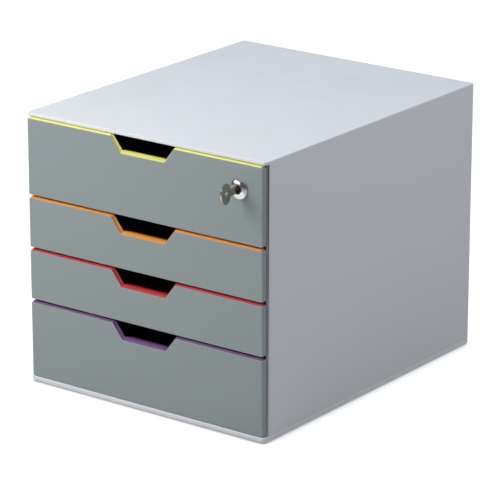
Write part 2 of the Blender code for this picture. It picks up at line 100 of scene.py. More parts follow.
def roundEdge(inset, level, radius, start, end, steps=edgeSteps):
    # Rows of a round edge: centre plus radius times the cosine and sine of angles in degrees.
    angles = np.radians(np.linspace(start, end, steps + 1))
    return [(inset + radius * math.cos(a), level + radius * math.sin(a), 1.0) for a in angles]


def stripFaces(rows, columns, closedRows=False):
    # Quads between neighbouring rows of a grid whose columns close round.
    row = np.arange(rows if closedRows else rows - 1)[:, None]
    column = np.arange(columns)[None, :]
    below = row * columns
    above = (row + 1) % rows * columns
    after = (column + 1) % columns
    return np.stack((below + column, below + after, above + after, above + column),
                    axis=-1).reshape(-1, 4).tolist()


def endFaces(rows, columns):
    # The two faces that close the first and the last row of such a grid.
    last = (rows - 1) * columns
    return [list(range(columns)), list(range(last, last + columns))]


def anglesRound(columns):
    return np.arange(columns) * 2 * math.pi / columns


def carried(corners, radii, rows, place, steps=cornerSteps):
    # Closed surface: an outline carried through rows of (inset, level, edge weight), each a number
    # or a value per point, and closed by a flat face at both ends.
    shape = (len(corners), steps + 1)
    inset, level, weight = (np.stack([np.broadcast_to(row[part], shape) for row in rows])
                            for part in range(3))
    flat = outlineAt(corners, radii, inset, steps)
    points = place(flat[..., 0], flat[..., 1], level).reshape(-1, 3)
    columns = shape[0] * shape[1]
    faces = stripFaces(len(rows), columns) + endFaces(len(rows), columns)
    return points, faces, weight.reshape(-1)


def turned(rows, centre, columns, closedRows=False):
    # Turned surface round an axis along Y: x and z are the radius times cosine and sine of the angle,
    # and a row's radius is a number or a value per angle.
    angle = anglesRound(columns)
    radius, level, weight = (np.stack([np.broadcast_to(row[part], columns) for row in rows])
                             for part in range(3))
    points = np.stack((centre[0] + radius * np.cos(angle), centre[1] + level,
                       centre[2] + radius * np.sin(angle)), axis=-1).reshape(-1, 3)
    faces = stripFaces(len(rows), columns, closedRows)
    if not closedRows:
        faces += endFaces(len(rows), columns)
    return points, faces, weight.reshape(-1)


def together(*surfaces):
    # Several closed surfaces as one: their points follow each other and the faces' numbers shift.
    points, faces, weights, start = [], [], [], 0
    for surface in surfaces:
        points.append(surface[0])
        faces += [[start + corner for corner in face] for face in surface[1]]
        weights.append(surface[2])
        start += len(surface[0])
    return np.concatenate(points), faces, np.concatenate(weights)


def facing(origin):
    # Places an outline drawn as seen from the front: its level runs back along Y.
    return lambda a, b, level: np.stack((a, origin + level, b), axis=-1)


def lying(a, b, level):
    # Places an outline drawn in plan: its level is the height.
    return np.stack((a, b, level), axis=-1)


def addPiece(name, surface, material, body, replaced, crease=35):
    points, faces, weight = surface
    mesh = bpy.data.meshes.new(name)
    mesh.from_pydata(points, [], faces)
    edge = mesh.attributes.new("edgeRound", "FLOAT", "POINT")
    edge.data.foreach_set("value", weight.astype(np.float32))
    bm = bmesh.new()
    bm.from_mesh(mesh)
    bmesh.ops.remove_doubles(bm, verts=bm.verts, dist=mergeGap)
    bmesh.ops.dissolve_degenerate(bm, edges=bm.edges, dist=mergeGap)
    bmesh.ops.recalc_face_normals(bm, faces=bm.faces)
    bm.to_mesh(mesh)
    bm.free()
    mesh.shade_smooth()
    mesh.set_sharp_from_angle(angle=math.radians(crease))
    mesh.materials.append(material)
    piece = bpy.data.objects.new(name, mesh)
    bpy.context.scene.collection.objects.link(piece)
    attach(piece, body)
    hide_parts(replaced)


def dress(names, material):
    # CAD pieces that show as they are take a material.
    for name in names:
        nodes[name].data.materials.clear()
        nodes[name].data.materials.append(material)


# Shader groups that several materials share

def makeGroup(name, inputs, outputs):
    tree = bpy.data.node_groups.new(name, "ShaderNodeTree")
    for label, value in inputs.items():
        socket = tree.interface.new_socket(label, in_out="INPUT", socket_type="NodeSocketFloat")
        socket.default_value = value
    for label in outputs:
        tree.interface.new_socket(label, in_out="OUTPUT", socket_type="NodeSocketFloat")
    return tree, tree.nodes.new("NodeGroupInput"), tree.nodes.new("NodeGroupOutput")


def addNode(tree, kind, **values):
    node = tree.nodes.new(kind)
    for label, value in values.items():
        setattr(node, label, value)
    return node


def math2(tree, operation, first, second):
    # A Math node fed by sockets or numbers.
    node = addNode(tree, "ShaderNodeMath", operation=operation)
    for index, value in enumerate((first, second)):
        if isinstance(value, (int, float)):
            node.inputs[index].default_value = value
        else:
            tree.links.new(value, node.inputs[index])
    return node.outputs[0]


def ramp(tree, value, low, high, toLow=0.0, toHigh=1.0):
    # Smooth step from toLow to toHigh while the value runs from low to high.
    node = addNode(tree, "ShaderNodeMapRange", interpolation_type="SMOOTHSTEP")
    tree.links.new(value, node.inputs["Value"])
    for label, number in (("From Min", low), ("From Max", high), ("To Min", toLow), ("To Max", toHigh)):
        node.inputs[label].default_value = number
    return node.outputs["Result"]


def noise(tree, vector, scale, detail=2.0, roughness=0.5):
    node = addNode(tree, "ShaderNodeTexNoise")
    tree.links.new(vector, node.inputs["Vector"])
    if isinstance(scale, (int, float)):
        node.inputs["Scale"].default_value = scale
    else:
        tree.links.new(scale, node.inputs["Scale"])
    node.inputs["Detail"].default_value = detail
    node.inputs["Roughness"].default_value = roughness
    return node.outputs["Fac"]


def stretched(tree, vector, turn, scale):
    node = addNode(tree, "ShaderNodeMapping")
    tree.links.new(vector, node.inputs["Vector"])
    node.inputs["Rotation"].default_value = [math.radians(angle) for angle in turn]
    node.inputs["Scale"].default_value = scale
    return node.outputs["Vector"]


def objectCoordinates(tree):
    return addNode(tree, "ShaderNodeTexCoord").outputs["Object"]


# Each noise is given as scale, detail and roughness, and each ramp as its two ends
mouldGrain = {"fineDetail": (3.0, 0.6), "pits": (0.28, 0.62), "wave": (22.0, 1.0),
              "patch": (46.0, 3.0, 0.55), "patchShare": 0.6, "fineShare": 0.4}


def makeMouldGrain():
    # Spark-eroded mould surface: fine pitted grain over faint long waves of the moulding.
    tree, given, out = makeGroup("mould grain", {"Grain Scale": 2600.0, "Waviness": 0.35},
                                 ["Height", "Gloss"])
    place = objectCoordinates(tree)
    fine = noise(tree, place, given.outputs["Grain Scale"], *mouldGrain["fineDetail"])
    pits = ramp(tree, fine, *mouldGrain["pits"])
    wave = noise(tree, place, *mouldGrain["wave"])
    shaped = math2(tree, "MULTIPLY", wave, given.outputs["Waviness"])
    tree.links.new(math2(tree, "ADD", pits, shaped), out.inputs["Height"])
    patch = noise(tree, place, *mouldGrain["patch"])
    mixed = math2(tree, "ADD", math2(tree, "MULTIPLY", patch, mouldGrain["patchShare"]),
                  math2(tree, "MULTIPLY", fine, mouldGrain["fineShare"]))
    tree.links.new(mixed, out.inputs["Gloss"])
    return tree


handling = {"smudge": (4.0, 0.6), "smudgeRamp": (0.42, 0.68), "lineRamp": (0.72, 0.80),
            "lines": (((0, 20, 28), (26, 900, 500)), ((12, 0, -63), (900, 30, 620))),
            "region": (19.0, 2.0), "regionRamp": (0.5, 0.66)}


def makeHandling():
    # Use marks: soft smudges where hands go, and two sets of sparse hairline scratches.
    tree, given, out = makeGroup("handling marks", {"Smudge Scale": 14.0, "Scratches": 0.5},
                                 ["Smudge", "Scratch"])
    place = objectCoordinates(tree)
    smudge = noise(tree, place, given.outputs["Smudge Scale"], *handling["smudge"])
    tree.links.new(ramp(tree, smudge, *handling["smudgeRamp"]), out.inputs["Smudge"])
    lines = []
    for turn, scale in handling["lines"]:
        fibre = noise(tree, stretched(tree, place, turn, scale), 1.0, 1.0)
        lines.append(ramp(tree, fibre, *handling["lineRamp"]))
    region = ramp(tree, noise(tree, place, *handling["region"]), *handling["regionRamp"])
    either = math2(tree, "MAXIMUM", lines[0], lines[1])
    held = math2(tree, "MULTIPLY", either, region)
    tree.links.new(math2(tree, "MULTIPLY", held, given.outputs["Scratches"]), out.inputs["Scratch"])
    return tree


edgeWear = {"noise": (4.0, 0.6), "ramp": (0.32, 0.66, 0.35, 1.0)}


def makeEdgeWear():
    # Rounded edges, from the piece's own edgeRound attribute, rubbed unevenly.
    tree, given, out = makeGroup("edge wear", {"Amount": 1.0, "Break Up": 90.0}, ["Mask"])
    marked = addNode(tree, "ShaderNodeAttribute", attribute_name="edgeRound")
    rubbed = noise(tree, objectCoordinates(tree), given.outputs["Break Up"], *edgeWear["noise"])
    uneven = ramp(tree, rubbed, *edgeWear["ramp"])
    worn = math2(tree, "MULTIPLY", marked.outputs["Fac"], uneven)
    tree.links.new(math2(tree, "MULTIPLY", worn, given.outputs["Amount"]), out.inputs["Mask"])
    return tree


settledDust = {"up": (0.55, 0.95), "specks": (1400.0, 2.0), "speckRamp": (0.55, 0.75),
               "drift": (9.0, 4.0, 0.6), "driftRamp": (0.35, 0.75), "speckShare": 0.5}


def makeDust():
    # Fine dust that settles on what faces up.
    tree, given, out = makeGroup("settled dust", {"Amount": 0.3}, ["Mask"])
    normal = addNode(tree, "ShaderNodeNewGeometry").outputs["Normal"]
    split = addNode(tree, "ShaderNodeSeparateXYZ")
    tree.links.new(normal, split.inputs[0])
    up = ramp(tree, split.outputs["Z"], *settledDust["up"])
    place = objectCoordinates(tree)
    specks = ramp(tree, noise(tree, place, *settledDust["specks"]), *settledDust["speckRamp"])
    drift = ramp(tree, noise(tree, place, *settledDust["drift"]), *settledDust["driftRamp"])
    both = math2(tree, "ADD", math2(tree, "MULTIPLY", specks, settledDust["speckShare"]),
                 math2(tree, "MULTIPLY", drift, 1 - settledDust["speckShare"]))
    held = math2(tree, "MULTIPLY", up, both)
    tree.links.new(math2(tree, "MULTIPLY", held, given.outputs["Amount"]), out.inputs["Mask"])
    return tree


metalGrain = {"stretch": (5200, 260, 5200), "lineDetail": 2.0, "cloud": (160.0, 4.0, 0.6)}


def makeMetalGrain():
    # Drawn metal: short fine lines along one direction, with cloudy patches.
    tree, given, out = makeGroup("metal grain", {"Line Scale": 1.0}, ["Lines", "Cloud"])
    place = objectCoordinates(tree)
    lines = noise(tree, stretched(tree, place, (0, 0, 0), metalGrain["stretch"]),
                  given.outputs["Line Scale"], metalGrain["lineDetail"])
    tree.links.new(lines, out.inputs["Lines"])
    tree.links.new(noise(tree, place, *metalGrain["cloud"]), out.inputs["Cloud"])
    return tree


groups = {"grain": makeMouldGrain(), "handling": makeHandling(), "wear": makeEdgeWear(),
          "dust": makeDust(), "metal": makeMetalGrain()}
print("shader groups made")


# Materials

def useGroup(tree, name, **values):
    node = addNode(tree, "ShaderNodeGroup", node_tree=groups[name])
    for label, value in values.items():
        node.inputs[label].default_value = value
    return node.outputs


def mixColour(tree, factor, first, second):
    node = addNode(tree, "ShaderNodeMix", data_type="RGBA")
    tree.links.new(factor, node.inputs[0])
    for index, value in ((6, first), (7, second)):
        if isinstance(value, tuple):
            node.inputs[index].default_value = (*value, 1)
        else:
            tree.links.new(value, node.inputs[index])
    return node.outputs[2]


def addBump(tree, shader, height, strength, distance):
    bump = addNode(tree, "ShaderNodeBump")
    bump.inputs["Strength"].default_value = strength
    bump.inputs["Distance"].default_value = distance
    tree.links.new(height, bump.inputs["Height"])
    tree.links.new(bump.outputs["Normal"], shader.inputs["Normal"])


def newMaterial(name):
    material = bpy.data.materials.new(name)
    material.use_nodes = True
    return material, material.node_tree, material.node_tree.nodes["Principled BSDF"]


def shade(colour, factor):
    return tuple(min(part * factor, 1.0) for part in colour)


glossRange = (0.3, 0.7)    # the part of a gloss noise that changes the roughness
plasticUse = {"smudgeShade": 0.9, "smudgeGloss": 0.05, "wornLift": 0.35, "wornGloss": 0.08,
              "dustColour": (0.72, 0.71, 0.68), "dustDull": 0.2, "reliefDepth": 0.00004}


def mouldedPlastic(name, look):
    # Satin moulded plastic: patchy tone, paler rubbed edges, dust on top, pitted grain, uneven gloss.
    material, tree, shader = newMaterial(name)
    colour = look["colour"]
    grain = useGroup(tree, "grain", **{"Grain Scale": look["grainScale"]})
    marks = useGroup(tree, "handling", Scratches=look["scratches"])
    worn = useGroup(tree, "wear", Amount=look["edgeWear"])["Mask"]
    dust = useGroup(tree, "dust", Amount=look["dust"])["Mask"]
    tone = mixColour(tree, grain["Gloss"], shade(colour, 1 - look["patchy"]),
                     shade(colour, 1 + look["patchy"]))
    tone = mixColour(tree, math2(tree, "MULTIPLY", marks["Smudge"], look["smudges"]), tone,
                     shade(colour, plasticUse["smudgeShade"]))
    paler = tuple(part + (1 - part) * plasticUse["wornLift"] for part in colour)
    tone = mixColour(tree, worn, tone, paler)
    tone = mixColour(tree, dust, tone, plasticUse["dustColour"])
    tree.links.new(tone, shader.inputs["Base Color"])
    low, high = look["roughness"]
    rough = ramp(tree, grain["Gloss"], *glossRange, low, high)
    for operation, mask, change in (("SUBTRACT", marks["Smudge"], plasticUse["smudgeGloss"]),
                                    ("SUBTRACT", worn, plasticUse["wornGloss"]),
                                    ("ADD", dust, plasticUse["dustDull"])):
        rough = math2(tree, operation, rough, math2(tree, "MULTIPLY", mask, change))
    tree.links.new(rough, shader.inputs["Roughness"])
    shader.inputs["IOR"].default_value = look["ior"]
    height = math2(tree, "SUBTRACT", grain["Height"], marks["Scratch"])
    addBump(tree, shader, height, look["relief"], plasticUse["reliefDepth"])
    return material


metalUse = {"smudgeScale": 120.0, "smudgeDull": 0.06, "reliefDepth": 0.00002}


def plainMetal(name, look):
    # Plated or drawn metal: cloudy tone, fine lines in its relief, duller where it is handled.
    material, tree, shader = newMaterial(name)
    colour = look["colour"]
    grain = useGroup(tree, "metal")
    marks = useGroup(tree, "handling", **{"Smudge Scale": metalUse["smudgeScale"],
                                          "Scratches": look["scratches"]})
    tone = mixColour(tree, grain["Cloud"], shade(colour, 1 - look["patchy"]),
                     shade(colour, 1 + look["patchy"]))
    tree.links.new(tone, shader.inputs["Base Color"])
    low, high = look["roughness"]
    rough = ramp(tree, grain["Cloud"], *glossRange, low, high)
    rough = math2(tree, "ADD", rough, math2(tree, "MULTIPLY", marks["Smudge"], metalUse["smudgeDull"]))
    tree.links.new(rough, shader.inputs["Roughness"])
    shader.inputs["Metallic"].default_value = 1.0
    height = math2(tree, "SUBTRACT", grain["Lines"], marks["Scratch"])
    addBump(tree, shader, height, look["relief"], metalUse["reliefDepth"])
    return material


def rubber(name, look):
    material, tree, shader = newMaterial(name)
    grain = useGroup(tree, "grain", **{"Grain Scale": look["grainScale"], "Waviness": look["waviness"]})
    dust = useGroup(tree, "dust", Amount=look["dust"])["Mask"]
    darker, paler = (shade(look["colour"], factor) for factor in look["patchy"])
    tone = mixColour(tree, grain["Gloss"], darker, paler)
    tone = mixColour(tree, dust, tone, look["dustColour"])
    tree.links.new(tone, shader.inputs["Base Color"])
    tree.links.new(ramp(tree, grain["Gloss"], *glossRange, *look["roughness"]),
                   shader.inputs["Roughness"])
    addBump(tree, shader, grain["Height"], look["relief"], look["reliefDepth"])
    return material


plastic = {"roughness": (0.36, 0.46), "grainScale": 2600.0, "relief": 0.25, "ior": 1.5, "patchy": 0.012,
           "smudges": 0.05, "edgeWear": 0.15, "dust": 0.05, "scratches": 0.5}
caseLook = {**plastic, "colour": (0.625, 0.64, 0.67), "roughness": (0.46, 0.56), "edgeWear": 0.06}
frontLook = {**plastic, "colour": (0.228, 0.262, 0.268), "edgeWear": 0.12, "dust": 0.0}
trayLook = {**plastic, "colour": (0.20, 0.205, 0.21), "roughness": (0.45, 0.6), "grainScale": 1800.0,
            "dust": 0.12}
trimColours = {"yellow": (0.665, 0.632, 0.152), "orange": (0.68, 0.245, 0.026),
               "red": (0.45, 0.031, 0.034), "purple": (0.14, 0.062, 0.175)}
trimLook = {**plastic, "roughness": (0.38, 0.46), "patchy": 0.03, "edgeWear": 0.12, "dust": 0.0}
chromeLook = {"colour": (0.78, 0.78, 0.79), "roughness": (0.07, 0.14), "patchy": 0.03, "relief": 0.05,
              "scratches": 0.6}
# The plug is plated metal; its dark brown colour is painted shade, standing for the shadow and dark
# reflections in the lock's recess
plugPaintedShadeLook = {"colour": (0.17, 0.135, 0.115), "roughness": (0.2, 0.3), "patchy": 0.05, "relief": 0.15,
            "scratches": 0.8}
keyLook = {"colour": (0.46, 0.44, 0.40), "roughness": (0.18, 0.30), "patchy": 0.06, "relief": 0.25,
           "scratches": 1.0}
zincLook = {"colour": (0.55, 0.56, 0.57), "roughness": (0.30, 0.45), "patchy": 0.12, "relief": 0.3,
            "scratches": 0.6}
rubberLook = {"colour": (0.035, 0.035, 0.036), "roughness": (0.72, 0.92), "patchy": (0.7, 1.5),
              "grainScale": 1500.0, "waviness": 0.1, "relief": 0.5, "reliefDepth": 0.0001,
              "dust": 0.5, "dustColour": (0.3, 0.3, 0.29)}

caseGrey = mouldedPlastic("case grey plastic", caseLook)
frontGrey = mouldedPlastic("front grey plastic", frontLook)
trayGrey = mouldedPlastic("tray grey plastic", trayLook)
trimPlastics = {name: mouldedPlastic(f"trim {name} plastic", {**trimLook, "colour": colour})
                for name, colour in trimColours.items()}
chrome = plainMetal("chrome plating", chromeLook)
# The plug's metal takes the darkened colour: painted shade of the recess, not the metal's own tone
plugNickelPaintedShade = plainMetal("plug nickel darkened as painted shade", plugPaintedShadeLook)
keyNickel = plainMetal("nickel key", keyLook)
zinc = plainMetal("zinc plated steel", zincLook)
footRubber = rubber("foot rubber", rubberLook)
print("materials made")


# Case: top and both side walls in one moulding

hood = {"topThickness": 0.0033, "topRound": 0.0006, "lipRound": 0.0006, "frontCorner": 0.0044,
        "backCorner": 0.003, "wallThickness": 0.004, "wallSetback": 0.0057, "wallRound": 0.0016,
        "footRound": 0.0002, "seamLeft": 0.00008, "webRecess": 0.0009, "webMargin": 0.012}


def makeHood():
    low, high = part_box("housing_shell")
    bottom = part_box("base_panel")[1].z + hood["seamLeft"]
    roof = high.z - hood["topThickness"]
    half, near, far = high.x, low.y, high.y
    wall, step = hood["wallThickness"], near + hood["wallSetback"]
    # Stops along each side wall's front end, where its outer edge is a quarter round
    bend = np.radians(np.linspace(0, 90, edgeSteps + 1))
    stops = step + hood["wallRound"] * (1 - np.cos(bend))
    drawnIn = hood["wallRound"] * (1 - np.sin(bend))
    right = [(half, y) for y in stops]
    left = [(-half, y) for y in stops[::-1]]
    corners = ([(-half, near), (half, near)] + right
               + [(half, far), (half - wall, far), (-half + wall, far), (-half, far)] + left)
    radii = ([hood["frontCorner"]] * 2 + [0] * len(right)
             + [hood["backCorner"], 0, 0, hood["backCorner"]] + [0] * len(left))
    count = len(stops)
    isWall = alongEdges([0, 0] + [1] * (count + 1) + [0] + [1] * (count + 1) + [0])
    # The edge after the last stop on the left side is the open front part again
    isWall[-1, cornerSteps // 2 + 1:] = 0
    rounding = np.zeros(isWall.shape)
    rounding[2:2 + count] = drawnIn[:, None]
    rounding[-count:] = drawnIn[::-1, None]
    rounding *= isWall
    lip, end = hood["lipRound"], hood["footRound"]
    rows = [(hood["topRound"] + flatMargin, high.z, 0)]
    rows += roundEdge(hood["topRound"], high.z - hood["topRound"], hood["topRound"], 90, 180)
    for inset, level, weight in roundEdge(lip, roof + lip, lip, 180, 270):
        rows.append((np.where(isWall, 0, inset), level, weight * (1 - isWall)))
    rows.append((np.where(isWall, rounding, lip), roof, 0))
    for inset, level, _ in roundEdge(end, bottom + end, end, 180, 270, smallSteps):
        rows.append((np.where(isWall, rounding + inset, lip), np.where(isWall, level, roof), isWall))
    for inset, level, _ in roundEdge(wall - end, bottom + end, end, 270, 360, smallSteps):
        rows.append((inset, np.where(isWall, level, roof), isWall))
    rows.append((wall, roof, 0))
    rows.append((wall + flatMargin, roof, 0))
    margin = hood["webMargin"]
    rows += [(margin, roof, 0), (margin, roof + hood["webRecess"], 0),
             (margin + flatMargin, roof + hood["webRecess"], 0)]
    addPiece("hood", carried(corners, radii, rows, lying), caseGrey, "case", "housing_shell")


makeHood()
print("hood made")


# Base with its front lip, and the back

base = {"frontRound": 0.0014, "sideRound": 0.00008, "underRound": 0.0006, "frontCorner": 0.0044,
        "backCorner": 0.003, "recess": 0.0024, "recessMargin": 0.034}


def boxOutline(low, high):
    return [(low[0], low[1]), (high[0], low[1]), (high[0], high[1]), (low[0], high[1])]


def makeBase():
    low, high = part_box("base_panel")
    radii = [base["frontCorner"]] * 2 + [base["backCorner"]] * 2
    # The upper edge is soft in front and tight under the walls, where it would show as a seam
    top = blendEdges([base["frontRound"]] + [base["sideRound"]] * 3)
    under = base["underRound"]
    rows = [(top + flatMargin, high.z, 0)]
    rows += roundEdge(top, high.z - top, top, 90, 180, largeSteps)
    rows += roundEdge(under, low.z + under, under, 180, 270)
    margin = base["recessMargin"]
    rows += [(margin, low.z, 0), (margin, low.z + base["recess"], 0),
             (margin + flatMargin, low.z + base["recess"], 0)]
    addPiece("baseBoard", carried(boxOutline(low.xy, high.xy), radii, rows, lying), caseGrey, "case",
             "base_panel")


backBoard = {"corner": 0.0008, "round": 0.0004, "field": 0.012, "fieldDepth": 0.0005}


def makeBack():
    low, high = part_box("back_panel")
    depth = high.y - low.y
    soft = backBoard["round"]
    field = backBoard["field"]
    sunk = depth - backBoard["fieldDepth"]
    rows = [(soft + flatMargin, 0, 0)] + roundEdge(soft, soft, soft, 270, 180)
    rows += roundEdge(soft, depth - soft, soft, 180, 90)
    rows += roundEdge(field, depth - soft, soft, 90, 0) + [(field + soft, sunk, 0)]
    rows.append((field + soft + flatMargin, sunk, 0))
    outline = boxOutline((low.x, low.z), (high.x, high.z))
    addPiece("backBoard", carried(outline, [backBoard["corner"]] * 4, rows, facing(low.y)), caseGrey,
             "case", "back_panel")


foot = {"round": 0.0005, "hollow": 0.004, "hollowDepth": 0.0003, "columns": 48}


def makeFeet():
    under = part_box("base_panel")[0].z
    for place in ("front_left", "front_right", "back_left", "back_right"):
        low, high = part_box(f"foot_{place}")
        radius = (high.x - low.x) / 2
        soft = foot["round"]
        rows = [(radius, under, 0)] + [(radius - inset, level, weight) for inset, level, weight
                                       in roundEdge(soft, soft, soft, 180, 270)]
        rows += [(foot["hollow"], 0, 0), (foot["hollow"] - soft, foot["hollowDepth"], 0)]
        centre = (low + high) / 2
        points, faces, weight = turned(rows, (0, 0, 0), foot["columns"])
        points = np.stack((points[:, 0] + centre.x, points[:, 2] + centre.y, points[:, 1]), axis=-1)
        addPiece(f"foot_{place}_pad", (points, faces, weight), footRubber, "case", f"foot_{place}")


makeBase()
makeBack()
makeFeet()
dress(("runner_panel_left", "runner_panel_right"), trayGrey)
print("base, back, feet and runner panels made")


# Drawer fronts: a grey skin that wraps a coloured trim, both with the grip recess in the upper edge

front = {"topRound": 0.0004, "bottomRound": 0.0005, "sideRound": 0.0014, "corner": 0.0014,
         "skin": 0.002, "flange": 0.0014, "backRound": 0.0003, "lowered": 0.0004,
         "gripWidth": 0.078, "gripFloorWidth": 0.054, "gripDepth": 0.0155, "gripRound": 0.0016,
         "gripFloorRound": 0.0032}


def gripCorners(rim):
    # The recess from right to left.
    top, floor = front["gripWidth"] / 2, front["gripFloorWidth"] / 2
    level = rim - front["gripDepth"]
    return [(top, rim), (floor, level), (-floor, level), (-top, rim)]


gripRadii = [front["gripRound"], front["gripFloorRound"], front["gripFloorRound"], front["gripRound"]]


def makeSkin(number, low, high):
    half, rim = high.x, high.z - front["lowered"]
    corner, flange = front["corner"], front["flange"]
    # The flange ends where each upper corner's round ends
    corners = [(-half, low.z), (half, low.z), (half, rim), (half - corner, rim), *gripCorners(rim),
               (-half + corner, rim), (-half, rim)]
    radii = [corner, corner, corner, 0, *gripRadii, 0, corner]
    isFlange = alongEdges([1, 1, 1, 0, 0, 0, 0, 0, 1, 1])
    depth = np.where(isFlange, high.y - low.y, front["skin"])
    # The face's edge is softer at the sides than along the top and the bottom
    side, top = front["sideRound"], front["topRound"]
    soft = blendEdges([front["bottomRound"], side, top, top, top, top, top, top, top, side])
    backSoft = front["backRound"]
    rows = [(soft + flatMargin, 0, 0)] + roundEdge(soft, soft, soft, 270, 180, largeSteps)
    rows += roundEdge(backSoft, depth - backSoft, backSoft, 180, 90)
    for inset, level, weight in roundEdge(flange - backSoft, depth - backSoft, backSoft, 90, 0):
        rows.append((inset, np.maximum(level, front["skin"]), weight))
    rows += [(side + flatMargin * 2, front["skin"], 0), (side + flatMargin * 3, front["skin"], 0)]
    surface = carried(corners, radii, rows, facing(low.y))
    addPiece(f"frontSkin_{number}", surface, frontGrey, f"drawer_{number}", f"drawer_{number}_front")


# The trim lies behind the skin. Its upper edge folds forward over the skin's and slopes up from it as a
# coloured bead, which in the grip rises into a hump and falls away behind it.
trim = {"bead": 0.0014, "wallBead": 0.0005, "beadFront": 0.0004, "beadDepth": 0.0019,
        "beadBend": (0.75, 0.85), "beadRoot": 0.0012, "endGap": 0.0003, "floorRise": 0.0011,
        "floorCrest": 0.0048, "floorEnd": 0.0134, "wallRise": 0.0012, "wallCrest": 0.0040,
        "edgeCrest": 0.0058, "riseSteps": 5, "fallSteps": 8, "thickness": 0.002, "round": 0.0003}


def makeTrim(number, low, high, colour):
    skinLow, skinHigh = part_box(f"drawer_{number}_front")
    near, back = low.y - skinLow.y, skinHigh.y - skinLow.y
    rim = skinHigh.z - front["lowered"]
    end = high.x - trim["endGap"]
    corners = [(low.x, low.z), (high.x, low.z), (high.x, rim), (end, rim), *gripCorners(rim),
               (-end, rim), (low.x, rim)]
    radii = [front["corner"], front["corner"], 0, 0, *gripRadii, 0, 0]
    hasBead = alongEdges([0, 0, 0, 1, 1, 1, 1, 1, 0, 0])
    onFloor = blendEdges([0, 0, 0, 0, 0, 1, 0, 0, 0, 0])
    onWall = blendEdges([0, 0, 0, 0, 1, 0, 1, 0, 0, 0])

    def perPart(edge, wall, floor):
        return edge + (wall - edge) * onWall + (floor - edge) * onFloor

    def inBead(inset, level, weight=0):
        # The bead's own row, or the trim's front edge where there is no bead
        return np.where(hasBead, inset, 0), np.where(hasBead, level, near + soft), weight * hasBead

    rise = perPart(0, trim["wallRise"], trim["floorRise"])
    crest = perPart(trim["edgeCrest"], trim["wallCrest"], trim["floorCrest"])
    depth = perPart(back, back, trim["floorEnd"])
    bead = perPart(trim["bead"], trim["wallBead"], trim["bead"])
    soft, fore = trim["round"], trim["beadFront"]
    start = fore + trim["beadDepth"]
    rows = [(trim["beadRoot"] + flatMargin, near, 0), (np.where(hasBead, trim["beadRoot"], soft), near, 0)]
    for inset, level, _ in roundEdge(soft, near + soft, soft, 270, 180):
        rows.append((np.where(hasBead, 0, inset), np.where(hasBead, near, level), 0))
    # The bead's slope bends at these shares of its depth and its height
    along, up = trim["beadBend"]
    rows += [inBead(0, fore), inBead(-up * bead, fore + along * trim["beadDepth"], 1),
             inBead(-bead, start)]
    # Height over the skin's edge: a quarter sine up to the crest, a squared cosine down behind it
    for share in np.linspace(0, 1, trim["riseSteps"] + 1)[1:]:
        lift = math.sin(share * math.pi / 2)
        rows.append(inBead(-bead - rise * lift, start + (crest - start) * share))
    for share in np.linspace(0, 1, trim["fallSteps"] + 1)[1:]:
        fall = math.cos(share * math.pi / 2) ** 2
        rows.append(inBead(-(bead + rise) * fall, crest + (depth - soft - crest) * share))
    rows += roundEdge(soft, depth - soft, soft, 180, 90)
    wall = trim["thickness"]
    rows += roundEdge(wall - soft, depth - soft, soft, 90, 0)
    rows += [(wall, near + wall, 0), (wall + flatMargin, near + wall, 0)]
    surface = carried(corners, radii, rows, facing(skinLow.y))
    addPiece(f"frontTrim_{number}", surface, trimPlastics[colour], f"drawer_{number}",
             f"drawer_{number}_trim")


# Trays: a thin tub with a glide flange along each side and a stop lug at its back end

tray = {"wall": 0.002, "corner": 0.004, "rimRound": 0.0005, "outerFillet": 0.003, "innerFillet": 0.0025,
        "flange": 0.0058, "flangeThickness": 0.002, "flangeRound": 0.0003, "flangeSetback": 0.012,
        "lug": 0.006, "lugHeight": 0.003, "notchHalf": 0.0141, "notchBelow": 0.0156}


def makeTray(number, lockAxis):
    low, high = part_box(f"drawer_{number}_tray")
    half = high.x - tray["flange"]
    rim = high.z - tray["lugHeight"]
    flangeFront = low.y + tray["flangeSetback"]
    flangeBack = high.y - tray["corner"]
    lugFront = flangeBack - tray["lug"]
    notch = []
    if lockAxis:
        notch = [(lockAxis[0] - tray["notchHalf"], low.y), (half - tray["corner"], low.y)]
    corners = ([(-half, low.y)] + notch + [(half, low.y), (half, flangeFront), (half, lugFront),
               (half, flangeBack), (half, high.y), (-half, high.y), (-half, flangeBack),
               (-half, lugFront), (-half, flangeFront)])
    rounds = ([tray["corner"]] + [0] * len(notch) + [tray["corner"], 0, 0, 0]
              + [tray["corner"]] * 2 + [0, 0, 0])
    lead = [0] * (len(notch) + 1)
    isFlange = alongEdges(lead + [0, 1, 1, 0, 0, 0, 1, 1, 0])
    isLug = alongEdges(lead + [0, 0, 1, 0, 0, 0, 1, 0, 0])
    top = np.full(isFlange.shape, rim)
    if lockAxis:
        isNotch = alongEdges([0, 1, 0] + [0] * (len(corners) - 3))
        top = np.where(isNotch, lockAxis[2] - tray["notchBelow"], rim)
    wide = isFlange * tray["flange"]
    raised = top + isLug * tray["lugHeight"]
    under = top - tray["flangeThickness"]
    wall, soft, edge = tray["wall"], tray["rimRound"], tray["flangeRound"]
    outer, inner = tray["outerFillet"], tray["innerFillet"]
    rows = [(outer + flatMargin, low.z, 0)] + roundEdge(outer, low.z + outer, outer, 270, 180, largeSteps)
    rows.append((0, under, 0))
    for inset, level, weight in roundEdge(edge - wide, under + edge, edge, 270, 180, smallSteps):
        rows.append((np.minimum(inset, 0), level, weight))
    rows += roundEdge(soft - wide, raised - soft, soft, 180, 90)
    rows += [(wall / 2, raised, 0), (wall / 2, top, 0)]
    rows += roundEdge(wall - soft, top - soft, soft, 90, 0)
    rows += roundEdge(wall + inner, low.z + wall + inner, inner, 180, 270, largeSteps)
    rows.append((wall + inner + flatMargin, low.z + wall, 0))
    surface = carried(corners, rounds, rows, lying)
    addPiece(f"tray_{number}", surface, trayGrey, f"drawer_{number}", f"drawer_{number}_tray")


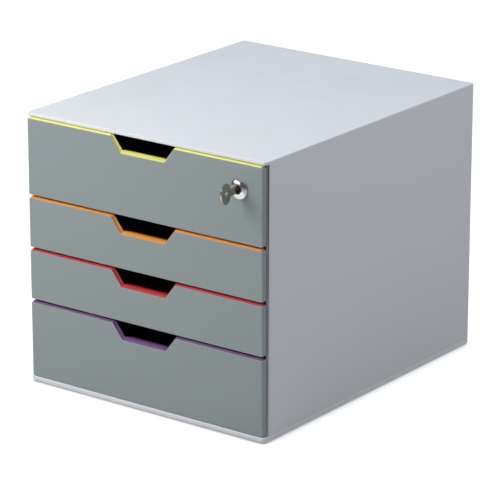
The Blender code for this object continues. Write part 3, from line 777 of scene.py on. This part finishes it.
lockLow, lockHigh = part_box("lock_barrel")
lockAxis = ((lockLow.x + lockHigh.x) / 2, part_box("drawer_1_front")[0].y, (lockLow.z + lockHigh.z) / 2)
for number, colour in enumerate(trimColours, start=1):
    makeSkin(number, *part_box(f"drawer_{number}_front"))
    makeTrim(number, *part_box(f"drawer_{number}_trim"), colour)
    makeTray(number, lockAxis if number == 1 else None)
print("drawers made")


# Lock: threaded barrel with its bezel, plug with the keyway, hexagon nut, cam, screw and strike

barrel = {"lip": 0.0046, "lipBack": 0.0018, "ring": 0.0053, "ringEdge": 0.0003,
          "headHeight": 0.0034, "headSide": 0.0007, "coneShare": 0.55, "shoulderSteps": 11,
          "body": 0.008, "length": 0.020, "bore": 0.0061, "washerGap": 0.0003, "soft": 0.0002,
          "threadStart": 0.0045, "threadPitch": 0.001, "threadDepth": 0.0005, "threadSteps": 6,
          "columns": 64}


def makeBarrel():
    head = (lockHigh.x - lockLow.x) / 2
    tall, side, soft, ring = barrel["headHeight"], barrel["headSide"], barrel["soft"], barrel["ring"]
    bore, edge, lip = barrel["bore"], barrel["ringEdge"], barrel["lip"]
    # The bezel's lip closes in over the plug's rim
    rows = [(bore, -barrel["lipBack"], 0), (lip, -barrel["lipBack"], 0), (lip, -tall + edge, 0),
            (lip + edge, -tall, 1), (ring - edge, -tall, 0)]
    # The bezel's shoulder falls to the head's side, part cone and part quarter ellipse
    cone = barrel["coneShare"]
    for angle in np.linspace(0, math.pi / 2, barrel["shoulderSteps"] + 1):
        fall = cone * math.sin(angle) + (1 - cone) * (1 - math.cos(angle))
        rows.append((ring + (head - ring) * math.sin(angle), -tall + (tall - side) * fall,
                     math.sin(2 * angle)))
    rows += [(head, -barrel["washerGap"] - soft, 0), (head - soft, -barrel["washerGap"], 0),
             (barrel["body"], -barrel["washerGap"], 0), (barrel["body"], barrel["threadStart"], 0)]
    # Thread: the radius dips by a triangle wave of the distance along the barrel less the turn
    turn = np.arange(barrel["columns"]) / barrel["columns"]
    start, end = barrel["threadStart"], barrel["length"] - barrel["threadPitch"]
    for level in np.arange(start, end, barrel["threadPitch"] / barrel["threadSteps"]):
        phase = (level / barrel["threadPitch"] - turn) % 1
        grow = min((level - start) / barrel["threadPitch"], (end - level) / barrel["threadPitch"], 1)
        dip = barrel["threadDepth"] * grow * (1 - np.abs(2 * phase - 1))
        rows.append((barrel["body"] - dip, level, 0))
    rows += [(barrel["body"], end, 0), (barrel["body"], barrel["length"] - soft, 0),
             (barrel["body"] - soft, barrel["length"], 1), (bore, barrel["length"], 0)]
    addPiece("lockBarrel", turned(rows, lockAxis, barrel["columns"], True), chrome, "drawer_1",
             "lock_barrel")


plug = {"radius": 0.0058, "face": 0.0015, "slotWidth": 0.0026, "slotHeight": 0.0076, "slotDepth": 0.013,
        "soft": 0.0003, "tail": 0.006, "camGap": 0.0003, "columns": 96}


def rectangleRadius(angle, halfWidth, halfHeight):
    # Distance from the middle of a rectangle to its edge: the nearer of its two pairs of sides.
    across = halfWidth / np.maximum(np.abs(np.cos(angle)), tiny)
    along = halfHeight / np.maximum(np.abs(np.sin(angle)), tiny)
    return np.minimum(across, along)


def makePlug():
    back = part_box("lock_cam")[0].y - lockAxis[1] - plug["camGap"]
    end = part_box("lock_plug")[1].y - lockAxis[1]
    angle = anglesRound(plug["columns"])
    slot = rectangleRadius(angle, plug["slotWidth"] / 2, plug["slotHeight"] / 2)
    tail = rectangleRadius(angle, plug["tail"] / 2, plug["tail"] / 2)
    soft, radius, face = plug["soft"], plug["radius"], -plug["face"]
    rows = [(slot, plug["slotDepth"], 0), (slot, face + soft, 0), (slot + soft, face, 1),
            (slot + 2 * soft, face, 0), (radius - 2 * soft, face, 0), (radius - soft, face, 1),
            (radius, face + soft, 1), (radius, back - soft, 0), (radius - soft, back, 1),
            (tail, back, 0), (tail, end, 0)]
    addPiece("lockPlug", turned(rows, lockAxis, plug["columns"]), plugNickelPaintedShade, "lock", "lock_plug")


nut = {"flats": 0.021, "bore": 0.0083, "soft": 0.0003, "columns": 96}


def makeNut():
    low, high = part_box("lock_nut")
    near, far = low.y - lockAxis[1], high.y - lockAxis[1]
    # The nut is narrower than high when two of its six flats face sideways. The turn is the angle from
    # the middle of the nearest flat.
    sideways = (high.x - low.x) < (high.z - low.z)
    shift = math.pi / 6 if sideways else 0
    turn = (anglesRound(nut["columns"]) + shift) % (math.pi / 3) - math.pi / 6
    flats, soft = nut["flats"] / 2, nut["soft"]
    hexagon = flats / np.cos(turn)
    chamfer = flats + soft
    rows = [(nut["bore"], near + soft, 0), (nut["bore"] + soft, near, 1),
            (flats - soft, near, 0), (np.minimum(hexagon, chamfer), near + soft, 1),
            (hexagon, near + 3 * soft, 0), (hexagon, far - 3 * soft, 0),
            (np.minimum(hexagon, chamfer), far - soft, 1), (flats - soft, far, 0),
            (nut["bore"] + soft, far, 1), (nut["bore"], far - soft, 0)]
    addPiece("lockNut", turned(rows, lockAxis, nut["columns"], True), zinc, "drawer_1", "lock_nut")


key = {"bowLong": 0.0071, "bowWide": 0.0102, "blade": 0.0035, "hole": 0.0021, "soft": 0.0003, "tip": 0.001,
       "bitShares": (1.0, 0.5, 0.8, 0.4), "bitDepth": 0.0009, "rampShare": 0.25, "bowSteps": 64,
       "holeColumns": 64, "edgeSteps": 3, "crease": 30}


def keyOutline(length, middle):
    # Round the oval bow, along the cut blade to its tip and back, anticlockwise.
    half, bow = key["blade"], key["bowWide"]
    join = math.asin(half / bow)
    sweep = np.linspace(-math.pi + join, math.pi - join, key["bowSteps"] + 1)
    bowRound = np.stack((middle + key["bowLong"] * np.cos(sweep), bow * np.sin(sweep)), axis=-1)
    shares = np.array(key["bitShares"])
    pitch = (length - key["tip"]) / (len(shares) + key["rampShare"])
    slope = pitch * key["rampShare"]
    starts = -np.arange(len(shares))[:, None] * pitch
    along = starts - np.array([0, slope, pitch - 2 * slope, pitch - slope])
    depth = np.stack((0 * shares, shares, shares, 0 * shares), axis=-1) * key["bitDepth"]
    upper = np.stack((along.ravel(), half - depth.ravel()), axis=-1)
    tip = np.array([(-length + key["tip"], half), (-length, half - key["tip"]), (-length, 0),
                    (-length, key["tip"] - half), (-length + key["tip"], -half)])
    lower = upper[::-1] * (1, -1)
    # The outline, and the number of the point in the middle of the tip
    return np.concatenate((bowRound, upper, tip, lower)), len(bowRound) + len(upper) + 2


def makeKey():
    low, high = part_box("key")
    length = high.y - lockAxis[1]
    thick = high.x - low.x
    middle = lockAxis[1] - low.y - key["bowLong"]
    outer, tipAt = keyOutline(length, middle)
    bowAt = key["bowSteps"] // 2
    soft = key["soft"]
    columns = key["holeColumns"]
    angle = -anglesRound(columns)
    hole = np.stack((middle + key["hole"] * np.cos(angle), key["hole"] * np.sin(angle)), axis=-1)
    rows = [(soft + flatMargin / 2, 0, 0)] + roundEdge(soft, soft, soft, 270, 180, key["edgeSteps"])
    rows += roundEdge(soft, thick - soft, soft, 180, 90, key["edgeSteps"])
    rows.append((soft + flatMargin / 2, thick, 0))

    def place(a, b, level):
        return np.stack((low.x + level, lockAxis[1] - a, lockAxis[2] + b), axis=-1)

    solid = carried(outer, np.zeros(len(outer)), rows, place, 0)
    bore = carried(hole, np.zeros(columns), rows, place, 0)
    points, faces, weight = together((solid[0], solid[1][:-2], solid[2]), (bore[0], bore[1][:-2], bore[2]))
    # Each flat side is two faces that meet on the key's middle line, beside the hole
    count, farSide, holeFrom = len(outer), len(rows) - 1, len(solid[0])
    halves = ((range(bowAt, tipAt + 1), range(columns // 2, columns + 1)),
              ([*range(tipAt, count), *range(bowAt + 1)], range(columns // 2 + 1)))
    for outerStart, holeStart in ((0, holeFrom), (farSide * count, holeFrom + farSide * columns)):
        for edge, ring in halves:
            faces.append([outerStart + index for index in edge]
                         + [holeStart + index % columns for index in ring])
    addPiece("keyFlat", (points, faces, weight), keyNickel, "key", "key", key["crease"])


makeBarrel()
makePlug()
makeNut()
makeKey()
dress(("lock_cam", "cam_screw", "lock_strike"), zinc)
print("lock and key made")


# Floor, light and camera

# The floor glow's fade under the object is a painted contact shadow
studio = {"floorSize": 30.0, "floor": (0.36, 0.36, 0.36), "floorBounce": (0.26, 0.26, 0.26),
          "floorGlow": 0.80, "contactShadow": 0.010, "contactShadowGlow": 0.3, "contactShadowSamples": 16,
          "poolCentre": (-0.25, -0.45, 0), "mirroredPool": (0.36, 0.5), "poolGlow": (0.70, 0.69, 0.63),
          "horizon": (0.48, 0.48, 0.485), "zenith": (0.385, 0.435, 0.495), "roomRise": (0.0, 0.8),
          "mirroredHorizon": (0.10, 0.09, 0.08), "mirroredZenith": (0.42, 0.46, 0.50),
          "mirroredRise": (0.4, 0.85)}


def makeFloor():
    size = studio["floorSize"] / 2
    mesh = bpy.data.meshes.new("floor")
    mesh.from_pydata([(-size, -size, 0), (size, -size, 0), (size, size, 0), (-size, size, 0)], [],
                     [[0, 1, 2, 3]])
    floor = bpy.data.objects.new("floor", mesh)
    bpy.context.scene.collection.objects.link(floor)
    # To the camera the floor is a lit white sweep. Mirrored in the object it is pale only in a pool
    # before it, and its light on the object is a plain pale floor's.
    material, tree, shader = newMaterial("pale studio floor")
    paths = addNode(tree, "ShaderNodeLightPath").outputs
    away = addNode(tree, "ShaderNodeVectorMath", operation="DISTANCE")
    tree.links.new(objectCoordinates(tree), away.inputs[0])
    away.inputs[1].default_value = studio["poolCentre"]
    far = ramp(tree, away.outputs["Value"], *studio["mirroredPool"])
    mirrored = mixColour(tree, far, studio["poolGlow"], studio["mirroredHorizon"])
    glow = mixColour(tree, paths["Is Glossy Ray"], (0, 0, 0), mirrored)
    tree.links.new(mixColour(tree, paths["Is Camera Ray"], glow, (1, 1, 1)),
                   shader.inputs["Emission Color"])
    seen = math2(tree, "MAXIMUM", paths["Is Camera Ray"], paths["Is Glossy Ray"])
    tree.links.new(mixColour(tree, seen, studio["floorBounce"], studio["floor"]),
                   shader.inputs["Base Color"])
    # Painted contact shadow: the glow fades, by ambient occlusion, in the gap under the object
    contactShadow = addNode(tree, "ShaderNodeAmbientOcclusion", samples=studio["contactShadowSamples"])
    contactShadow.inputs["Distance"].default_value = studio["contactShadow"]
    tree.links.new(ramp(tree, contactShadow.outputs["AO"], 0, 1, studio["contactShadowGlow"], studio["floorGlow"]),
                   shader.inputs["Emission Strength"])
    shader.inputs["Roughness"].default_value = 1.0
    shader.inputs["Specular IOR Level"].default_value = 0.0
    mesh.materials.append(material)


def makeWorld():
    # The object is lit by a soft grey room, brighter overhead, whose walls are dark where it mirrors
    # them, and the camera sees white behind it.
    world = bpy.data.worlds.new("studio")
    world.use_nodes = True
    bpy.context.scene.world = world
    tree = world.node_tree
    direction = addNode(tree, "ShaderNodeTexCoord").outputs["Generated"]
    split = addNode(tree, "ShaderNodeSeparateXYZ")
    tree.links.new(direction, split.inputs[0])
    height = ramp(tree, split.outputs["Z"], *studio["roomRise"])
    mirroredHeight = ramp(tree, split.outputs["Z"], *studio["mirroredRise"])
    room = mixColour(tree, height, studio["horizon"], studio["zenith"])
    mirrored = mixColour(tree, mirroredHeight, studio["mirroredHorizon"], studio["mirroredZenith"])
    paths = addNode(tree, "ShaderNodeLightPath").outputs
    room = mixColour(tree, paths["Is Glossy Ray"], room, mirrored)
    room = mixColour(tree, paths["Is Camera Ray"], room, (1, 1, 1))
    tree.links.new(room, tree.nodes["Background"].inputs["Color"])


lights = {
    "overhead": {"place": (0.1, 0.3, 1.6), "aim": (0, 0, 0.1), "wide": 0.8, "tall": 0.8,
                 "power": 6.2, "colour": (0.97, 0.99, 1.0), "mirrored": False},
    "front": {"place": (-0.4, -0.95, 0.85), "aim": (0, -0.1, 0.16), "wide": 0.7, "tall": 0.7,
              "power": 13.3, "colour": (1.0, 0.985, 0.965), "mirrored": False},
    # What the lock and the key mirror of the lights, dim enough for no glare on the top
    "cornerGlint": {"place": (-0.56, -0.89, 0.57), "aim": (0.1, -0.16, 0.25), "wide": 0.9,
                    "tall": 0.35, "power": 1.2, "colour": (1.0, 0.985, 0.965), "mirrored": True},
    "rightFill": {"place": (1.9, 0.5, 0.8), "aim": (0.14, 0, 0.14), "wide": 1.4, "tall": 1.4,
                  "power": 10.7, "colour": (1.0, 0.985, 0.97), "mirrored": False},
}


def makeLights():
    for name, light in lights.items():
        data = bpy.data.lights.new(name, "AREA")
        data.shape = "RECTANGLE"
        data.size = light["wide"]
        data.size_y = light["tall"]
        data.energy = light["power"]
        data.color = light["colour"]
        lamp = bpy.data.objects.new(name, data)
        lamp.visible_diffuse = not light["mirrored"]
        lamp.visible_glossy = light["mirrored"]
        lamp.location = light["place"]
        lamp.rotation_mode = "QUATERNION"
        lamp.rotation_quaternion = (Vector(light["aim"]) - lamp.location).to_track_quat("-Z", "Y")
        bpy.context.scene.collection.objects.link(lamp)


camera = {"turn": 36.88, "dip": 18.18, "distance": 3.112, "lens": 222.8, "sensor": 36,
          "aim": (0.0061, 0, 0.1252)}


def makeCamera():
    turn, dip = math.radians(camera["turn"]), math.radians(camera["dip"])
    ahead = Vector((-math.sin(turn) * math.cos(dip), math.cos(turn) * math.cos(dip), -math.sin(dip)))
    data = bpy.data.cameras.new("camera")
    data.sensor_width = camera["sensor"]
    data.lens = camera["lens"]
    seeing = bpy.data.objects.new("camera", data)
    seeing.location = Vector(camera["aim"]) - ahead * camera["distance"]
    seeing.rotation_mode = "QUATERNION"
    seeing.rotation_quaternion = ahead.to_track_quat("-Z", "Y")
    bpy.context.scene.collection.objects.link(seeing)
    bpy.context.scene.camera = seeing


makeFloor()
makeWorld()
makeLights()
makeCamera()
bpy.context.scene.view_settings.view_transform = "Standard"
print("studio made")
